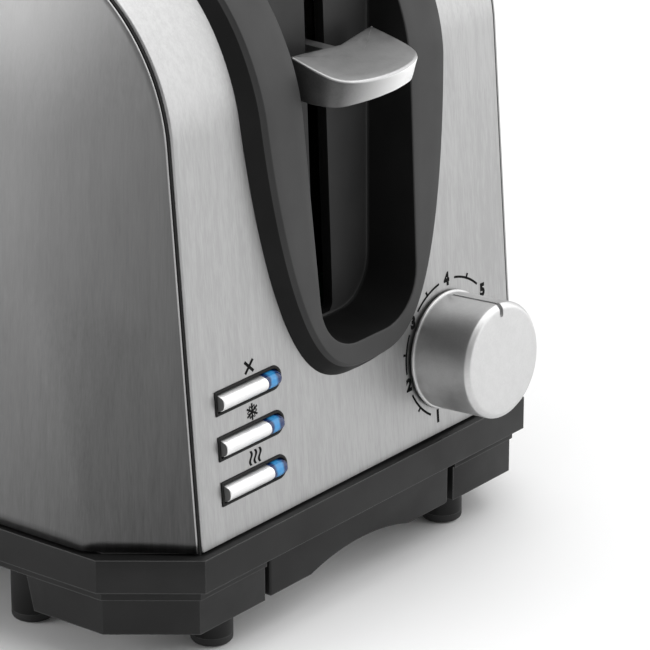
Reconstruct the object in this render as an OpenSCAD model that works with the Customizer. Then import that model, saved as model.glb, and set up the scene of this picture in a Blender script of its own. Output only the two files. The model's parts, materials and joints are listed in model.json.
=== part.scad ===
// Two-slot pop-up toaster with a brushed steel cover on a black moulded base.
// Frame: +X towards the control end, +Z up, table top at z = 0, millimetres.
// Each module is drawn about the middle of the base band; place() centres the whole object.

/* [Overall size] */
// Length of the base band, end face to end face
base_length = 280; // [276:1:284]
// Width of the base across its bowed sides
base_width = 180; // [178:1:184]
// Height of the steel cover above the table
cover_height = 192; // [190:1:194]
// Lean of the end panels and side shells from vertical, degrees
lean = 4.5; // [4:0.1:5]
// Radius of the cover's shoulders
shoulder_r = 52; // [50:1:54]
// Thickness of the sheet metal covers
sheet = 1; // [0.8:0.1:1.2]

/* [Base] */
// Height of the feet below the corner blocks
foot_height = 11.2; // [10:0.1:12]
// Diameter of a foot
foot_d = 11.6; // [10:0.1:13]
// Height of the underside of the base band
band_low = 24.8; // [24:0.1:26]
// Height of the top of the base band
band_top = 34.3; // [34:0.1:36]
// Half width of the base band's end faces
end_half = 69.1; // [68:0.1:71]
// Length of the band's corner chamfers along X
chamfer_x = 22.2; // [20:0.1:24]
// Width of the band's corner chamfers along Y
chamfer_y = 17.9; // [17:0.1:18.4]

/* [Toasting chamber] */
// Length of a bread slot
slot_length = 140; // [136:1:142]
// Width of a bread slot
slot_width = 27; // [25:0.5:28]
// Distance from the middle plane to the middle of a slot
slot_y = 22.5; // [22:0.1:23]
// Ribbons on one face of a heater card
ribbon_rows = 9; // [6:1:9]
// Upright wires in one bread guide
guide_wires = 12; // [8:1:12]

/* [Lever] */
// Travel of the carriage from rest down to the latch
carriage_travel = 60; // [50:1:60]
// Height of the lever handle's underside at rest
lever_z = 144; // [140:1:146]
// Width of the lever handle
lever_w = 34; // [30:1:36]
// Half width of the raised black trim round the lever pocket
trim_half = 40; // [39:0.5:40.5]
// How far the trim stands out from the end panel
trim_proud = 5.9; // [5:0.1:6.5]
// Depth of the lever pocket behind the steel surface
pocket_depth = 10.3; // [9:0.1:11]

/* [Controls] */
// Radius of the browning knob
knob_r = 16.3; // [15:0.1:17]
// How far the knob stands out from the panel
knob_proud = 19.9; // [14:0.1:21]
// Distance of the knob's axis from the middle plane
knob_y = 38.2; // [38:0.1:40]
// Distance of the knob's axis above the foot of the panel
knob_s = 23.9; // [22:0.1:25]
// Length of a push button's opening
button_l = 26.6; // [24:0.1:28]
// Height of a push button's opening
button_h = 6.9; // [6:0.1:8]
// Distance of the lowest button above the foot of the panel
button_s = 13.9; // [12:0.1:15]
// Spacing of the three buttons
button_pitch = 12.5; // [11:0.1:13]

/* [Hidden] */
$fn = 96;
gap = 0.3;

// Base
half_l = base_length / 2;
corner_half = end_half + chamfer_y;
side_bow = base_width / 2 - corner_half;
chamfer_a = atan(chamfer_y / chamfer_x);
block_inset = 3.6;
block_x = half_l - 47.4;
end_foot = [half_l - 14.6, 50.2];
side_foot = [half_l - 61.5, 69.8];
floor_top = 27.3;
pad_h = 2.4;
opening_half = 39.4;

// Cover: foot of the end panel, and centre of the shoulder arc
shell_low = band_top + 0.8;
foot_x = half_l - 2.5;
shoulder_z = cover_height - shoulder_r;
shoulder_x = foot_x - (shoulder_z + shoulder_r * sin(lean) - band_top) * tan(lean)
    - shoulder_r * cos(lean);
cover_half = 66.1;
seam_y = 67.8;
facet_slope = 0.88;
shell_t = 1.2;

// Black trim and deck: an arch lowered so that it stands less proud on top
cap_r = shoulder_r + trim_proud;
cap_drop = trim_proud - 3;
deck_seam = 88;
deck_rear = 94;
deck_corner = 26;
rail_rear = 86;
hatch_half = 38.2;

// Toasting chamber
plate_x = 74;
chassis_half = 50;
chassis_high = 180;
pivot_z = 40;
guide_top = 168;
guide_y = 13;
outer_card = 41;
inner_card = 3.5;
card_low = 46;
ribbon_pitch = 13;

// Carriage, drawn at rest
arm_z = lever_z + 3;
rod = [96, 14];
rod_r = 2.5;
rack_top = 104;
crossbar_z = [96, 104];
slot_low = 33;
spring_top = 168;
spring_x = 81;
spring_r = 3.2;
spring_wire = 0.6;
spring_turns = 14;
keeper_z = 116;

// Controls, in the panel's own frame
board_o = -26;
shaft_r = 3;
wall = 0.7;
cap_split = -40.5;
button_y = -45.1;
button_rows = [for (k = [0:2]) button_s + k * button_pitch];
stem_y = -50;

// The browning knob's lowest rim point is the furthest point forward
knob_reach = foot_x - knob_s * sin(lean) + knob_proud * cos(lean) + (knob_r - 1.2) * sin(lean);
x_shift = (half_l - knob_reach) / 2;

// ---- shared geometry ----

module place() translate([x_shift, 0, 0]) children();

// 2-D in X and Z, thickened from y0 to y1
module across_y(y0, y1) translate([0, y1, 0]) rotate([90, 0, 0]) linear_extrude(y1 - y0) children();

// 2-D in Y and Z, thickened from x0 to x1
module along_x(x0, x1) translate([x0, 0, 0]) rotate([90, 0, 90]) linear_extrude(x1 - x0) children();

// The frame of the front panel: x out of the panel, y across, z up along it
module on_panel() translate([foot_x, 0, band_top]) rotate([0, -lean, 0]) children();

// 2-D in Y and Z of the panel frame, thickened from o0 to o1 out of the panel
module out_of_panel(o0, o1) on_panel() along_x(o0, o1) children();

module box(low, high) translate(low) cube(high - low);

module mirrored_x() {
    children();
    mirror([1, 0, 0]) children();
}

module mirrored_y() {
    children();
    mirror([0, 1, 0]) children();
}

module four_corners() mirrored_y() mirrored_x() children();

// Outline of the base in plan, i inside the band's outer face
function plan_points(i) =
    let (xe = half_l - i,
         ye = end_half - i * tan((90 - chamfer_a) / 2),
         xc = half_l - chamfer_x - i * tan(chamfer_a / 2),
         side = [for (k = [-6:6]) [xc * k / 6, corner_half - i + side_bow * (1 - k * k / 36)]])
    concat([[-xe, ye]], side, [[xe, ye], [xe, -ye]],
        [for (k = [12:-1:0]) [side[k].x, -side[k].y]], [[-xe, -ye]]);

module plan_ring(outer, inner, z0, z1) translate([0, 0, z0]) linear_extrude(z1 - z0) difference() {
    polygon(plan_points(outer));
    polygon(plan_points(inner));
}

module plan_plate(inset, z0, z1) translate([0, 0, z0]) linear_extrude(z1 - z0)
    polygon(plan_points(inset));

// Straight-edged part of an arch of radius r about the shoulder centres at height cz
function arch_points(r, cz, low) =
    let (tz = cz + r * sin(lean),
         tx = shoulder_x + r * cos(lean),
         fx = tx + (tz - low) * tan(lean))
    [[-fx, low], [fx, low], [tx, tz], [shoulder_x, cz], [shoulder_x, cz + r],
        [-shoulder_x, cz + r], [-shoulder_x, cz], [-tx, tz]];

// Side view of that arch
module arch_of(r, cz, low) {
    polygon(arch_points(r, cz, low));
    for (s = [-1, 1]) translate([s * shoulder_x, cz]) circle(r);
}

// Side view of the steel cover, o outside its surface
module arch(o, low = shell_low) arch_of(shoulder_r + o, shoulder_z, low);

// Side view of the black trim and deck
module cap_arch() arch_of(cap_r, shoulder_z - cap_drop, shell_low);

// Front view of the raised trim: an egg below, straight arms above
egg_top = 161;
egg_low = 66.8;
function egg_point(t) = [trim_half * pow(cos(t), 0.656), egg_top - (egg_top - egg_low) * pow(sin(t), 1.25)];
module trim_outline() mirrored_x() polygon(concat([[-0.01, egg_low], [-0.01, 200], [trim_half, 200]],
    [for (t = [0:5:90]) egg_point(t)]));

// Front view of the lever pocket, grown by g: it widens from its foot arcs up to the shoulder,
// and its head is rounded by head_r
pocket_low = 75;
pocket_r = 14.5;
pocket_foot = 5.8;
pocket_wide = 23.4;
pocket_shoulder = 162;
head_z = 175;
head_r = 10;
module pocket_outline(g) {
    foot = pocket_low + pocket_r;
    head_y = pocket_wide - head_r;
    right = [[pocket_foot, pocket_low - g], [pocket_foot + pocket_r + g, foot], [pocket_wide + g, pocket_shoulder],
        [pocket_wide + g, head_z], [head_y, head_z + head_r + g]];
    polygon(concat(right, [for (k = [4:-1:0]) [-right[k].x, right[k].y]]));
    for (s = [-1, 1]) {
        translate([s * pocket_foot, foot]) circle(pocket_r + g);
        translate([s * head_y, head_z]) circle(head_r + g);
    }
}

module rounded_rect(l, w, r) {
    square([l - 2 * r, w], center = true);
    square([l, w - 2 * r], center = true);
    for (sx = [-1, 1]) for (sy = [-1, 1]) translate([sx * (l / 2 - r), sy * (w / 2 - r)]) circle(r);
}

module bread_slots(grow) for (s = [-1, 1]) translate([0, s * slot_y])
    rounded_rect(slot_length + 2 * grow, slot_width + 2 * grow, 5 + grow);

// ---- base ----

module corner_block(inset, low) intersection() {
    plan_plate(inset, low, band_low + 0.5);
    across_y(41 + inset - block_inset, 95) polygon([[block_x + 3, 0], [half_l, 0], [half_l, 30], [block_x - 4, 30]]);
}

module corner_hollow() intersection() {
    plan_plate(6.4, foot_height + 2.5, floor_top + 1);
    box([block_x + 6, 44, 0], [half_l, 95, 40]);
}

module tray_rail() {
    box([-106, opening_half, 11.9], [128, 41.2, band_low + 0.5]);
    box([-106, 37, 11.9], [128, 41, 13.1]);
}

module base_plinth() color("#2b2b2c") difference() {
    union() {
        plan_ring(0, 2.8, band_low, band_top);
        plan_ring(0, 6.6, 31.8, band_top);
        plan_ring(4.4, 6.6, 32, 38.5);
        plan_ring(2.9, 5.4, 21.4, band_low + 0.5);
        plan_plate(2.5, band_low, floor_top);
        four_corners() corner_block(block_inset, foot_height);
        mirrored_y() tray_rail();
        box([-108, -41.2, 11.9], [-105.9, 41.2, band_low + 0.5]);
    }
    box([-73, -opening_half, 0], [73, opening_half, 40]);
    four_corners() corner_hollow();
    // room for the tray front and for the feet of the seam trims
    box([120, -38.9 - 2.1, 0], [half_l + 1, 38.9 + 2.1, band_low - 0.05]);
    four_corners() box([half_l - 8, 62, band_top], [half_l - 2.4, 68.3, 40]);
    mirrored_y() for (s = [-1, 1]) translate([s * 80.6, 46, 0]) cylinder(r = 1.7, h = 40);
}

module foot_posts() color("#242425") four_corners() {
    translate([end_foot.x, end_foot.y, pad_h]) cylinder(d = foot_d, h = foot_height - pad_h);
    translate([side_foot.x, side_foot.y, pad_h]) cylinder(d = foot_d, h = band_low - pad_h);
}

module foot_pad() rotate_extrude() {
    square([foot_d / 2 - 1.2, pad_h]);
    translate([0, 1.2]) square([foot_d / 2, pad_h - 1.2]);
    translate([foot_d / 2 - 1.2, 1.2]) circle(1.2);
}

module foot_pads() color("#1b1b1b") four_corners() for (p = [end_foot, side_foot])
    translate([p.x, p.y, 0]) foot_pad();

module base_screws() color("#b8b8b8") four_corners() translate([80.6, 46, 0]) {
    translate([0, 0, band_low - 2.2]) difference() {
        cylinder(r = 3, h = 2.2);
        translate([0, 0, -0.1]) cylinder(r = 1.5, h = 1.3, $fn = 6);
    }
    translate([0, 0, band_low - 0.1]) cylinder(r = 1.55, h = 9);
}

// ---- outer casing ----

module button_cutouts(h) for (s = button_rows) translate([button_y, s]) button_shape(button_l, h);

// Flat on the left, round on the right
module button_shape(l, h) {
    translate([-l / 2, -h / 2]) square([l - h / 2, h]);
    translate([l / 2 - h / 2, 0]) circle(h / 2);
}

// Sheet steel arch between the two seams, from x0 to x1
module cover_sheet(x0, x1) intersection() {
    across_y(-cover_half, cover_half) difference() {
        arch(0);
        arch(-sheet, shell_low - 5);
    }
    box([x0, -100, 0], [x1, 100, 210]);
}

module front_panel() color("#bfc0c1") difference() {
    cover_sheet(deck_seam + 0.1, 160);
    along_x(60, 150) pocket_outline(2.2);
    box([80, -hatch_half, 150], [100, hatch_half, 200]);
    out_of_panel(-4, 4) translate([knob_y, knob_s]) circle(5);
    out_of_panel(-4, 4) button_cutouts(button_h);
}

module rear_panel() color("#bfc0c1") difference() {
    cover_sheet(-160, -rail_rear);
    along_x(-150, -120) translate([38, 52]) circle(5.8);
}

// Strips of the cover beside the black deck
module top_rails() color("#bfc0c1") mirrored_y() intersection() {
    cover_sheet(-rail_rear + 0.1, deck_seam);
    box([-100, hatch_half, 150], [100, 100, 210]);
}

// Side of the chassis cover in the Y and Z view: a leaning side, t inside, rounded over to the top
shell_round = 28;
round_a = atan(facet_slope);
side_d = (corner_half - 1 + side_bow) * cos(lean) + band_top * sin(lean);
top_d = seam_y * cos(round_a) + cover_height * sin(round_a);
round_c = [(side_d - shell_round) * sin(round_a) - (top_d - shell_round) * sin(lean),
    (top_d - shell_round) * cos(lean) - (side_d - shell_round) * cos(round_a)] / sin(round_a - lean);

module shell_profile(t) {
    r = shell_round - t;
    end = round_a - 3;
    tip = round_c + r * [cos(end), sin(end)];
    polygon([[40, 0], [(side_d - t) / cos(lean), 0], round_c + r * [cos(lean), sin(lean)], round_c, tip,
        [40, tip.y + (tip.x - 40) / tan(end)]]);
    translate(round_c) circle(r);
}

// Leaning side with its bow, t inside
module bowed_side(t) translate([0, 0, band_top]) rotate([lean, 0, 0]) translate([0, 0, -15])
    linear_extrude(200) polygon(concat([[-150, 40]],
        [for (k = [-7:7]) [(half_l - chamfer_x) * k / 6,
            (corner_half - 1 - t + side_bow * (1 - k * k / 36)) * cos(lean)]], [[150, 40]]));

// Arch from y0 outwards whose edge slopes in at the facet's slope, e inside the cover's at the seam
module tapered_arch(e, y0, low) {
    y1 = 95;
    r0 = shoulder_r - e - (y0 - seam_y) / facet_slope;
    r1 = r0 - (y1 - y0) / facet_slope;
    points = concat([for (p = arch_points(r0, shoulder_z, low)) [p.x, y0, p.y]],
        [for (p = arch_points(r1, shoulder_z, low)) [p.x, y1, p.y]]);
    polyhedron(points, concat([[7, 6, 5, 4, 3, 2, 1, 0], [8, 9, 10, 11, 12, 13, 14, 15]],
        [for (i = [0:7]) [i, (i + 1) % 8, (i + 1) % 8 + 8, i + 8]]));
    for (s = [-1, 1]) translate([s * shoulder_x, y0, shoulder_z]) rotate([-90, 0, 0])
        cylinder(r1 = r0, r2 = r1, h = y1 - y0);
}

module shell_solid(e, t, y0, low) intersection() {
    tapered_arch(e, y0, low);
    bowed_side(t);
    along_x(-150, 150) shell_profile(t);
}

module side_shell() difference() {
    shell_solid(0, 0, seam_y, shell_low);
    shell_solid(shell_t / sin(round_a), shell_t, seam_y - 0.2, shell_low - 2);
}

module side_shell_left() color("#8e8f90") mirror([0, 1, 0]) side_shell();

module side_shell_right() color("#8e8f90") side_shell();

// Black hoop that shows between the cover and a side shell
module seam_trim() {
    across_y(cover_half + 0.1, seam_y - 0.1) difference() {
        arch(-0.6, band_top);
        arch(-3.4, band_top - 1);
    }
    across_y(62.5, seam_y - 0.1) difference() {
        arch(-2.2, band_top);
        arch(-4.4, band_top - 1);
    }
}

module seam_trim_left() color("#151515") mirror([0, 1, 0]) seam_trim();

module seam_trim_right() color("#151515") seam_trim();

// Plan of the deck, its two rear corners rounded
module deck_plan() {
    x = deck_corner - deck_rear;
    y = trim_half - deck_corner;
    translate([x, -trim_half]) square([deck_seam - x, 2 * trim_half]);
    translate([-deck_rear, -y]) square([40, 2 * y]);
    for (s = [-1, 1]) translate([x, s * y]) circle(deck_corner);
}

module top_deck() color("#2e2e2f") difference() {
    union() {
        intersection() {
            translate([0, 0, 150]) linear_extrude(60) deck_plan();
            across_y(-50, 50) difference() {
                cap_arch();
                arch(gap, shell_low - 1);
            }
        }
        box([-85, -37, 189], [deck_seam, 37, 193]);
        translate([0, 0, 183.6]) linear_extrude(8) bread_slots(1.8);
    }
    translate([0, 0, 180]) linear_extrude(30) bread_slots(0);
}

module lever_bezel() color("#3a3a3b") difference() {
    intersection() {
        box([deck_seam + 0.2, -60, 60], [160, 60, 210]);
        union() {
            // raised trim
            intersection() {
                along_x(60, 160) difference() {
                    trim_outline();
                    pocket_outline(0);
                }
                across_y(-50, 50) difference() {
                    cap_arch();
                    arch(gap, shell_low - 1);
                }
            }
            // pocket wall
            intersection() {
                along_x(60, 160) difference() {
                    pocket_outline(1.8);
                    pocket_outline(0);
                }
                across_y(-50, 50) difference() {
                    arch(2);
                    arch(-pocket_depth - 1.7, shell_low - 1);
                }
            }
            // pocket back
            intersection() {
                along_x(60, 160) pocket_outline(1.8);
                across_y(-50, 50) difference() {
                    arch(-pocket_depth);
                    arch(-pocket_depth - 1.7, shell_low - 1);
                }
            }
        }
    }
    // slit for the lever arm, wider at the top
    along_x(60, 160) polygon([[-3.4, 80], [3.4, 80], [8, 150], [8, 166], [-8, 166], [-8, 150]]);
}

module cord_gland() color("#202020") along_x(-half_l + 0.1, -126) translate([38, 52]) difference() {
    circle(5.6);
    circle(3.6);
}

// ---- chassis and toasting chamber ----

module pivot_holes() for (s = [-1, 1]) for (g = [-guide_y, guide_y])
    translate([s * slot_y + g, pivot_z]) circle(1.08);

module chassis_plate(x0, cut_low) {
    along_x(x0, x0 + 1.2) difference() {
        translate([-chassis_half, floor_top]) square([2 * chassis_half, chassis_high - floor_top]);
        pivot_holes();
        if (cut_low > 0) for (s = [-1, 1])
            translate([s * slot_y - 3.2, cut_low]) square([6.4, 124 - cut_low]);
    }
}

module chassis_foot() mirrored_y() difference() {
    box([plate_x + 1.1, 36, floor_top], [86, chassis_half, floor_top + 1.2]);
    translate([80.6, 46, 20]) cylinder(r = 1.7, h = 20);
}

module front_chassis_plate() color("#a9abad") {
    chassis_plate(plate_x, slot_low);
    chassis_foot();
}

module rear_chassis_plate() color("#a9abad") {
    chassis_plate(-plate_x - 1.2, 0);
    mirror([1, 0, 0]) chassis_foot();
}

module chassis_top() color("#a9abad") translate([0, 0, chassis_high]) linear_extrude(1.2) difference() {
    translate([-76, -chassis_half]) square([152, 2 * chassis_half]);
    bread_slots(1);
}

module baffle() difference() {
    box([-plate_x + 0.1, 46, floor_top], [plate_x - 0.1, 47, chassis_high]);
    for (x = [-48, 0, 48]) for (z = [48, 64]) translate([x, 46.5, z]) cube([36, 4, 5], center = true);
}

module baffle_left() color("#9b9da0") mirror([0, 1, 0]) baffle();

module baffle_right() color("#9b9da0") baffle();

module heater_card(y) color("#cbbf9a") box([-plate_x, y, card_low], [plate_x, y + 1, 172]);

// Flat resistance ribbon laid to and fro on the face of a card, from y to y + 0.4
module heater_ribbon(y) color("#8a7f78") for (k = [0:ribbon_rows - 1]) {
    z = card_low + 8 + k * ribbon_pitch;
    box([-66, y, z], [66, y + 0.4, z + 2.4]);
    if (k < ribbon_rows - 1) {
        x = k % 2 == 0 ? 63.6 : -66;
        box([x, y, z], [x + 2.4, y + 0.4, z + ribbon_pitch + 1]);
    }
}

// Wire guide that swings in about its lowest wire to hold the slice upright
module bread_guide(y) color("#c9cacb") {
    translate([-77, y, pivot_z]) rotate([0, 90, 0]) cylinder(r = 1, h = 154);
    translate([-70, y, guide_top]) rotate([0, 90, 0]) cylinder(r = 1, h = 140);
    for (k = [0:guide_wires - 1]) translate([-66 + 132 * k / (guide_wires - 1), y, pivot_z])
        cylinder(r = 0.8, h = guide_top - pivot_z);
}

// ---- lever and carriage ----

module guide_rod() color("#d0d2d4") translate([rod.x, rod.y, floor_top])
    cylinder(r = rod_r, h = spring_top + 2 - floor_top);

module spring_bracket() color("#a9abad") difference() {
    union() {
        box([plate_x + 1.2, -12, spring_top], [101, 24, spring_top + 1.5]);
        box([plate_x + 1.2, -12, spring_top - 12], [plate_x + 2.4, 24, spring_top + 1]);
    }
    translate([rod.x, rod.y, 150]) cylinder(r = rod_r + 0.05, h = 40);
}

module return_spring() {
    steps = spring_turns * 10;
    low = crossbar_z[1] + spring_wire + 0.1;
    high = spring_top - spring_wire - 0.1;
    points = [for (k = [0:steps]) let (a = 36 * k, z = low + (high - low) * k / steps)
        for (c = [0:5]) let (r = spring_r + spring_wire * cos(60 * c))
            [spring_x + r * cos(a), r * sin(a), z + spring_wire * sin(60 * c)]];
    faces = concat([[for (c = [0:5]) c]], [[for (c = [5:-1:0]) steps * 6 + c]],
        [for (k = [0:steps - 1]) for (c = [0:5]) each [
            [k * 6 + c, (k + 1) * 6 + c, (k + 1) * 6 + (c + 1) % 6],
            [k * 6 + c, (k + 1) * 6 + (c + 1) % 6, k * 6 + (c + 1) % 6]]]);
    color("#c4c6c8") polyhedron(points, faces);
}

module magnet_core() color("#5f6264") difference() {
    box([92, -24, 30], [98, -12, 55.6]);
    box([91, -20, 50.2], [99, -16, 56]);
}

module magnet_coil() color("#b06a35") difference() {
    box([89.5, -26.5, 34], [100.5, -9.5, 50]);
    box([92, -24, 33], [98, -12, 51]);
}

module magnet_bracket() color("#a9abad") box([89, -27, floor_top], [102, -9, 30]);

module carriage_slider() color("#b5b7b9") difference() {
    union() {
        box([85, -26, 96], [86.5, 20, 158]);
        box([86.4, -8, 138], [104, 22, 158]);
        box([79, -27, crossbar_z[0]], [86.5, 27, crossbar_z[1]]);
        box([86.4, -25, keeper_z + 2], [89, -11, 124]);
    }
    translate([rod.x, rod.y, 100]) cylinder(r = rod_r + 0.06, h = 100);
    box([90, -1.8, arm_z], [105, 1.8, arm_z + 6]);
    for (s = [-1, 1]) box([78, s * slot_y - 1, 93], [83, s * slot_y + 1, rack_top - 1]);
}

module lever_arm() color("#b5b7b9") box([90, -1.8, arm_z], [136, 1.8, arm_z + 6]);

module keeper_plate() color("#8d9092") box([86.5, -24, keeper_z], [99, -12, keeper_z + 2]);

// Wire-thin rests across a steel bar, one under each slice
module bread_rack(y) color("#c2c4c6") {
    box([-68, y - 1, 93], [83, y + 1, rack_top - 1]);
    for (x = [-64:16:64]) box([x - 0.75, y - 10.5, rack_top - 2.5], [x + 0.75, y + 10.5, rack_top]);
}

// Plan of the lever handle: square at the back, bowed front with round corners
lever_back = 125.9;
lever_front = 146.8;
module lever_plan() {
    w = lever_w / 2;
    intersection() {
        union() {
            translate([lever_back, -w + 0.4]) square([10, lever_w - 0.8]);
            translate([lever_back + 4, -w]) square([8, lever_w]);
            translate([lever_back + 4, -w + 7]) square([20, lever_w - 14]);
            for (s = [-1, 1]) translate([lever_back + 12, s * (w - 8)]) circle(8);
        }
        translate([lever_front - 44, 0]) circle(44);
    }
}

// Side view of the handle: the top falls and the front leans out towards the fingers
module lever_side() polygon([[lever_back - 1, lever_z], [lever_front - 2.9, lever_z],
    [lever_front, lever_z + 6.9], [lever_front - 0.5, lever_z + 7.5], [lever_back - 1, lever_z + 11.3]]);

module lever_handle() color("#c8c9ca") difference() {
    intersection() {
        translate([0, 0, lever_z - 5]) linear_extrude(30) lever_plan();
        across_y(-30, 30) lever_side();
    }
    box([120, -1.8, arm_z], [136, 1.8, arm_z + 6]);
}

// ---- controls ----

module control_board() color("#2f6b3c") out_of_panel(board_o, board_o + 1.6)
    translate([-62, 4]) square([124, 44]);

module button_switches() color("#1d1d1d") for (s = button_rows) {
    out_of_panel(board_o + 1.6, board_o + 5) translate([stem_y, s]) square(6, center = true);
    out_of_panel(board_o + 4.9, board_o + 6) translate([stem_y, s]) circle(1.7);
}

module indicator_leds() color("#dfe8f5") for (s = button_rows)
    on_panel() translate([board_o + 1.6, -36.5, s]) rotate([0, 90, 0]) {
        cylinder(r = 1.5, h = 4);
        translate([0, 0, 4]) sphere(r = 1.5);
    }

module potentiometer() color("#3c4a66") on_panel() translate([0, knob_y, knob_s]) rotate([0, 90, 0])
    difference() {
        union() {
            translate([0, 0, board_o + 1.6]) cylinder(r = 8.5, h = 9);
            translate([0, 0, board_o + 10]) cylinder(r = 4.5, h = 13);
        }
        translate([0, 0, board_o + 3]) cylinder(r = shaft_r + 0.05, h = 30);
    }

module button_frame() color("#141414") {
    out_of_panel(-3.2, -1.1) difference() {
        translate([-61.5, 7.4]) square([33.5, 38]);
        for (s = button_rows) translate([button_y, s])
            button_shape(button_l - 0.2 - 2 * wall, button_h - 0.2 - 2 * wall);
    }
    out_of_panel(-1.2, 0.3) for (s = button_rows) translate([button_y, s]) difference() {
        button_shape(button_l - 0.2, button_h - 0.2);
        button_shape(button_l - 0.2 - 2 * wall, button_h - 0.2 - 2 * wall);
    }
}

// One key: a round-topped bar with a clear end, split at cap_split
module button_bar(s, y0, y1) on_panel() intersection() {
    along_x(-2.8, 4) translate([button_y, s])
        button_shape(button_l - 0.2 - 2 * wall - 2 * gap, button_h - 0.2 - 2 * wall - 2 * gap);
    translate([-3.2, y0, s]) rotate([-90, 0, 0]) cylinder(r = 6, h = y1 - y0);
}

module button_cap(row) color("#d9dadb") {
    s = button_rows[row];
    button_bar(s, -65, cap_split);
    out_of_panel(-4.7, -3.5) translate([-59.5, s - 3.4]) square([18, 6.8]);
    out_of_panel(-18.2, -2.6) translate([stem_y, s]) circle(1.5);
}

module button_lens(row) color("#2a78c8") button_bar(button_rows[row], cap_split, -20);

module browning_knob() color("#c9cacb") on_panel() translate([0, knob_y, knob_s]) rotate([0, 90, 0])
    difference() {
        rotate_extrude() difference() {
            union() {
                translate([0, 0.8]) square([knob_r + 0.5, 2]);
                translate([0, 2]) square([knob_r, knob_proud - 3.2]);
                polygon([[0, 5], [knob_r, knob_proud - 1.2], [knob_r - 1.2, knob_proud], [0, knob_proud]]);
            }
            translate([5.5, 0]) square([knob_r - 7.5, knob_proud - 3]);
        }
        translate([0, 0, -1]) cylinder(r = shaft_r, h = 11);
        // pointer groove up the side and onto the face
        translate([-knob_r - 1, -0.6, 3]) cube([1.7, 1.2, 20]);
        translate([-knob_r - 1, -0.6, knob_proud - 0.6]) cube([6, 1.2, 2]);
    }

module knob_shaft() color("#b5b7b9") on_panel() translate([0, knob_y, knob_s]) rotate([0, 90, 0])
    translate([0, 0, board_o + 4]) cylinder(r = shaft_r, h = 10 - board_o - 4);

// ---- crumb tray ----

module crumb_tray_pan() color("#b9babc") difference() {
    box([-102, -38.7, 13.4], [130, 38.7, 21.2]);
    box([-101, -37.7, 14.4], [129, 37.7, 22]);
}

module crumb_tray_front() color("#2b2b2c") difference() {
    box([130, -38.9, foot_height], [half_l - block_inset, 38.9, band_low - 0.6]);
    // finger arch in the lower edge
    translate([125, 0, foot_height - 67.3]) rotate([0, 90, 0]) cylinder(r = 70.5, h = 20);
}

// ---- rear wiring ----

module terminal_block() color("#e3e0d4") box([-112, 24, floor_top], [-98, 50, 44]);

module pipe(a, b, r) {
    d = b - a;
    translate(a) rotate([0, acos(d.z / norm(d)), atan2(d.y, d.x)]) cylinder(r = r, h = norm(d));
    translate(b) sphere(r = r);
}

module wiring_loom() color("#3f3f44") {
    route = [[-104, 50, 36], [-104, 57, 36], [96, 57, 36], [108, 57, 44]];
    for (k = [0:len(route) - 2]) pipe(route[k], route[k + 1], 2);
}

place() base_plinth();
place() foot_posts();
place() foot_pads();
place() base_screws();
place() front_panel();
place() rear_panel();
place() top_rails();
place() side_shell_left();
place() side_shell_right();
place() seam_trim_left();
place() seam_trim_right();
place() top_deck();
place() lever_bezel();
place() front_chassis_plate();
place() rear_chassis_plate();
place() chassis_top();
place() baffle_left();
place() baffle_right();
place() heater_card(-outer_card - 1);  // heater_card_1
place() heater_card(-inner_card - 1);  // heater_card_2
place() heater_card(inner_card);  // heater_card_3
place() heater_card(outer_card);  // heater_card_4
place() heater_ribbon(-outer_card);  // heater_ribbon_1
place() heater_ribbon(-inner_card - 1.4);  // heater_ribbon_2
place() heater_ribbon(inner_card + 1);  // heater_ribbon_3
place() heater_ribbon(outer_card - 0.4);  // heater_ribbon_4
place() guide_rod();
place() spring_bracket();
place() return_spring();
place() magnet_core();
place() magnet_coil();
place() magnet_bracket();
place() control_board();
place() button_switches();
place() indicator_leds();
place() potentiometer();
place() button_frame();
place() cord_gland();
place() terminal_block();
place() wiring_loom();
place() lever_handle();
place() lever_arm();
place() carriage_slider();
place() bread_rack(-slot_y);  // bread_rack_left
place() bread_rack(slot_y);  // bread_rack_right
place() keeper_plate();
place() browning_knob();
place() knob_shaft();
place() button_cap(2);  // cancel_cap
place() button_lens(2);  // cancel_lens
place() button_cap(1);  // defrost_cap
place() button_lens(1);  // defrost_lens
place() button_cap(0);  // reheat_cap
place() button_lens(0);  // reheat_lens
place() crumb_tray_pan();
place() crumb_tray_front();
place() bread_guide(-slot_y - guide_y);  // bread_guide_1
place() bread_guide(-slot_y + guide_y);  // bread_guide_2
place() bread_guide(slot_y - guide_y);  // bread_guide_3
place() bread_guide(slot_y + guide_y);  // bread_guide_4
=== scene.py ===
"""Looks of the two-slot toaster: finer meshes, materials, light and camera round the CAD model.

Numbers are millimetres in the toaster's own frame, unless said otherwise: x out of the control
end from the middle of the base, y across, z up from the table. P() makes them metres.
"""
import json
from math import acos, asin, atan2, copysign, cos, pi, radians, sin, sqrt, tan

import bmesh
import bpy
from mathutils import Matrix, Vector


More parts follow.
